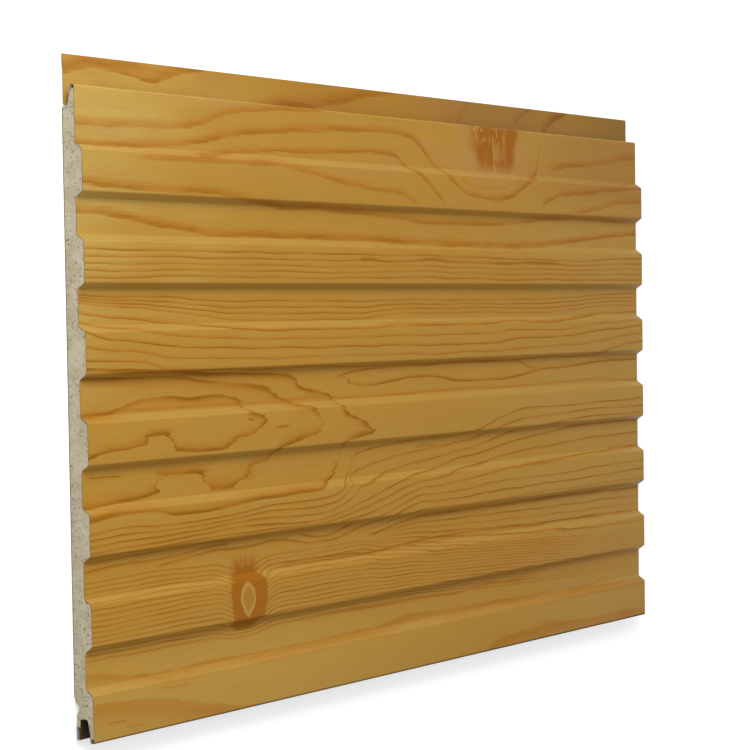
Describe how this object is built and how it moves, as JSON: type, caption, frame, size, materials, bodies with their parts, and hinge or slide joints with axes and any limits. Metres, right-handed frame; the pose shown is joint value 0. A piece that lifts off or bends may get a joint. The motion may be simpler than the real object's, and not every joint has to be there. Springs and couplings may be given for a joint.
{
  "type": "insulated sandwich panel",
  "caption": "Flat-lying facade panel: ribbed wood-grain steel face on a rigid foam core with a foil back, with a nailing flange and tongue along one edge and a grooved lip along the other.",
  "frame": {"origin": "under the middle of the panel, on the plane of its foil back", "axes": "+X along the panel, +Y across it from the lip to the nailing flange, +Z out of the painted face"},
  "size_m": [0.67, 0.4144, 0.016],
  "materials": {
    "painted_steel": "satin paint with a printed pine wood grain",
    "rigid_foam": "sawn rigid foam with fine pores",
    "foil": "slightly creased foil"
  },
  "bodies": {
    "root": {"face_sheet": "painted_steel", "foam_core": "rigid_foam", "backing_foil": "foil"}
  },
  "joints": []
}
